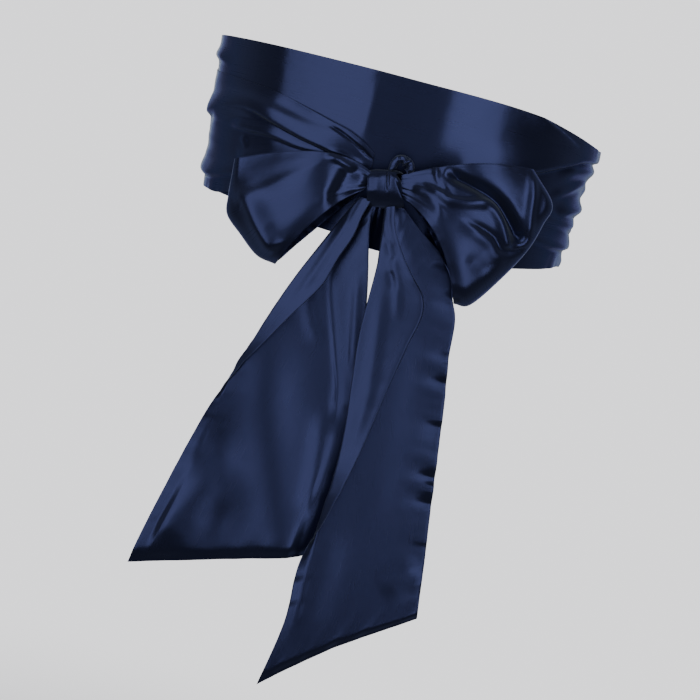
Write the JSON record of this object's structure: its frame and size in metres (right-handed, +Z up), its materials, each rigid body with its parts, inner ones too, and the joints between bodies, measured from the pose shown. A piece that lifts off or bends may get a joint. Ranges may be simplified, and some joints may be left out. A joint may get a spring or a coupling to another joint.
{
  "type": "satin waist sash tied in a bow",
  "caption": "Wide satin sash as worn: wound twice round a waist, gathered in soft folds at the sides and tied in front in a bow with long slanted ends.",
  "frame": {"origin": "middle of the waist that holds the sash, on its axis and at half the height of the winding", "axes": "+Z up along the waist's axis, -Y to the front where the bow is tied, +X to the right of someone who faces the bow"},
  "size_m": [0.2702, 0.2203, 0.4047],
  "materials": {
    "satin": "navy blue satin, glossy, with broad soft highlights"
  },
  "bodies": {
    "root": {"under_end": "satin", "under_turn": "satin", "front_panel": "satin", "outer_turn": "satin", "left_gather": "satin", "knot_core": "satin", "knot_wrap": "satin", "knot_tuck": "satin", "left_loop": "satin", "right_loop": "satin", "left_tail": "satin", "right_tail": "satin"}
  },
  "joints": []
}
